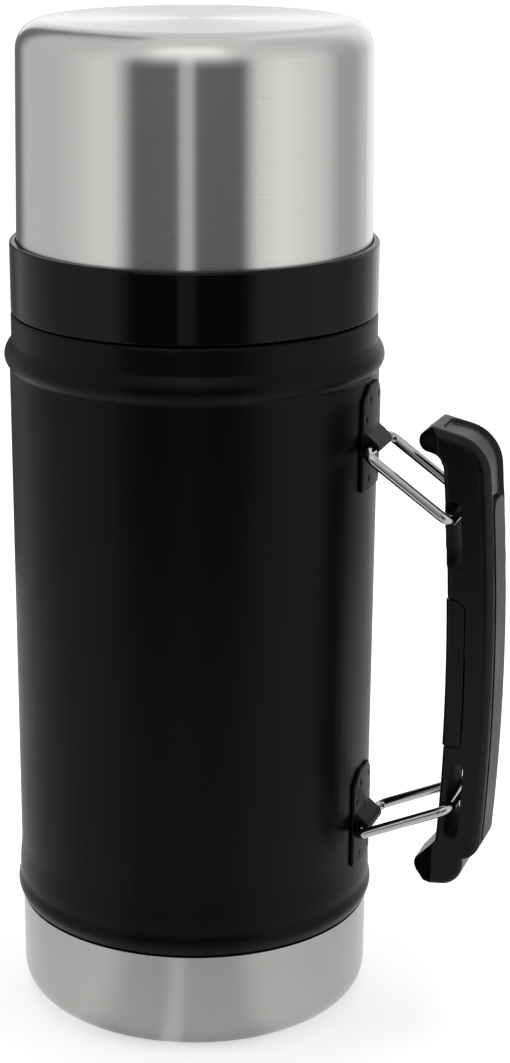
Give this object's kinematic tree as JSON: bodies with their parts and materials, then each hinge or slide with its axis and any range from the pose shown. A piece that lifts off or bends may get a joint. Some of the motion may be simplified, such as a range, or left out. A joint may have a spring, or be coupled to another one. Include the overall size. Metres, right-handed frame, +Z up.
{
  "type": "insulated food jar",
  "caption": "Double-walled wide-mouth vacuum jar with a screw stopper, a screw-on steel cup lid and a fold-flat handle carried on wire bails.",
  "frame": {"origin": "centre of the base's underside, on the jar's axis", "axes": "+Z up along the jar's axis, +X towards the handle, +Y across the handle"},
  "size_m": [0.1447, 0.1068, 0.2855],
  "materials": {
    "base_steel": "satin plain steel",
    "coated_steel": "satin black powder coat",
    "vessel_steel": "plain stainless steel",
    "getter_metal": "dull metal",
    "bracket_coating": "satin black coat",
    "wire_steel": "polished stainless steel wire",
    "handle_plastic": "satin moulded plastic",
    "strip_plastic": "satin moulded plastic",
    "stopper_plastic": "satin moulded plastic",
    "insulation_foam": "foam",
    "silicone": "matt silicone",
    "collar_plastic": "glossy moulded plastic",
    "cup_steel": "circumferentially brushed stainless steel"
  },
  "bodies": {
    "jar": {"base_cup": "base_steel", "outer_shell": "coated_steel", "inner_vessel": "vessel_steel", "outer_bottom": "vessel_steel", "getter": "getter_metal", "vacuum_seal": "getter_metal", "upper_bracket": "bracket_coating", "lower_bracket": "bracket_coating"},
    "handle": {"handle_shell": "handle_plastic", "handle_cover": "handle_plastic", "handle_strip": "strip_plastic"},
    "upper_wire": {"upper_bail": "wire_steel"},
    "lower_wire": {"lower_bail": "wire_steel"},
    "stopper_seat": {"stopper_gasket": "silicone"},
    "stopper": {"stopper_body": "stopper_plastic", "stopper_insulation": "insulation_foam", "stopper_cap": "stopper_plastic"},
    "lid_seat": {"lid_gasket": "silicone"},
    "lid": {"lid_collar": "collar_plastic", "lid_shell": "cup_steel", "lid_liner": "cup_steel"}
  },
  "joints": [
    {"name": "handle_fold", "type": "slide", "parent": "jar", "child": "handle", "axis": [-0.9842, 0, 0.1773], "range_m": [0, 0.01382]},
    {"name": "upper_bail_swing", "type": "hinge", "parent": "jar", "child": "upper_wire", "pos_m": [0.054, 0, 0.1726], "axis": [0, 1, 0], "range_deg": [0, 31.97]},
    {"name": "lower_bail_swing", "type": "hinge", "parent": "jar", "child": "lower_wire", "pos_m": [0.054, 0, 0.0589], "axis": [0, -1, 0], "range_deg": [0, 37.73]},
    {"name": "stopper_lift", "type": "slide", "parent": "jar", "child": "stopper_seat", "axis": [0, 0, 1], "range_m": [0, 0.045]},
    {"name": "stopper_turn", "type": "hinge", "parent": "stopper_seat", "child": "stopper", "pos_m": [0, 0, 0.222], "axis": [0, 0, 1], "range_deg": [0, 720]},
    {"name": "lid_lift", "type": "slide", "parent": "stopper_seat", "child": "lid_seat", "axis": [0, 0, 1], "range_m": [0, 0.045]},
    {"name": "lid_turn", "type": "hinge", "parent": "lid_seat", "child": "lid", "pos_m": [0, 0, 0.222], "axis": [0, 0, 1], "range_deg": [0, 360]}
  ],
  "couplings": [
    {"joint": "upper_bail_swing", "follows": "handle_fold", "rad_per_m": 40.371},
    {"joint": "lower_bail_swing", "follows": "handle_fold", "rad_per_m": 47.654}
  ]
}
